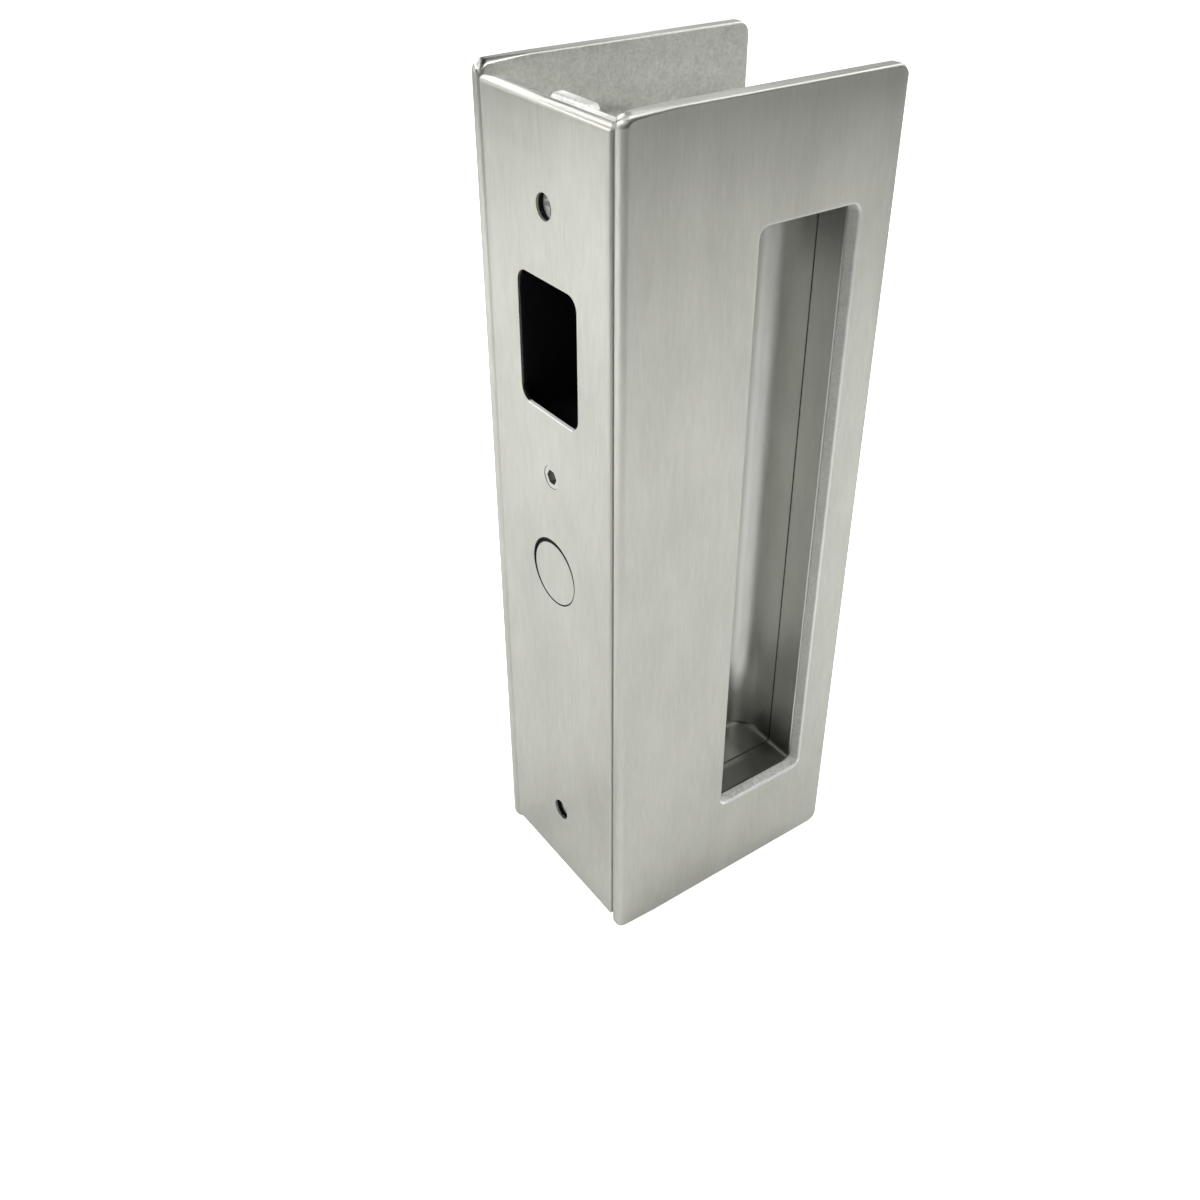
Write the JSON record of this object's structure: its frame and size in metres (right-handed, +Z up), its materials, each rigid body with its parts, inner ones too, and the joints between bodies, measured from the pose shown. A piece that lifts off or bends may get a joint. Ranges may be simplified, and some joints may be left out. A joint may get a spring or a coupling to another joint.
{
  "type": "pocket door handle",
  "caption": "U-shaped satin metal handle that saddles the leading edge of a sliding pocket door, with deep flush pulls, an edge finger window and a sprung magnet plunger.",
  "frame": {"origin": "on the surface that the handle stands on, under the middle of its width and depth", "axes": "+Z up along the handle's height, X across the door's thickness, -Y out of the door's leading edge; the plate on the +X side is the right one"},
  "size_m": [0.0414, 0.0556, 0.165],
  "materials": {
    "satin_nickel": "satin nickel, brushed along the height",
    "nickel_casting": "smooth satin nickel plate on a casting",
    "black_plastic": "moulded black plastic with a low sheen",
    "bright_screw": "nickel-plated screw steel",
    "dark_screw": "grey zinc-plated steel",
    "zinc_steel": "zinc-plated steel",
    "magnet_plating": "bright nickel-plated magnet",
    "bush_brass": "turned brass",
    "spring_wire": "drawn spring wire"
  },
  "bodies": {
    "handle": {"side_plate_right": "satin_nickel", "side_plate_left": "satin_nickel", "edge_plate": "satin_nickel", "pull_rim_right": "nickel_casting", "pull_rim_left": "nickel_casting", "core_body": "nickel_casting", "finger_insert": "black_plastic", "flush_screw": "bright_screw", "upper_clamp_screw": "dark_screw", "lower_clamp_screw": "dark_screw", "upper_clamp_nut": "zinc_steel", "lower_clamp_nut": "zinc_steel", "rim_screws_right": "zinc_steel", "rim_screws_left": "zinc_steel", "core_dowels": "zinc_steel", "plunger_bush": "bush_brass", "plunger_spring": "spring_wire"},
    "plunger": {"plunger_cap": "satin_nickel", "plunger_magnet": "magnet_plating"}
  },
  "joints": [
    {"name": "plunger_slide", "type": "slide", "parent": "handle", "child": "plunger", "axis": [0, 1, 0], "range_m": [0, 0.0025], "stiffness_N_per_m": 250, "springref_m": -0.003, "deforming": ["plunger_spring"]}
  ]
}
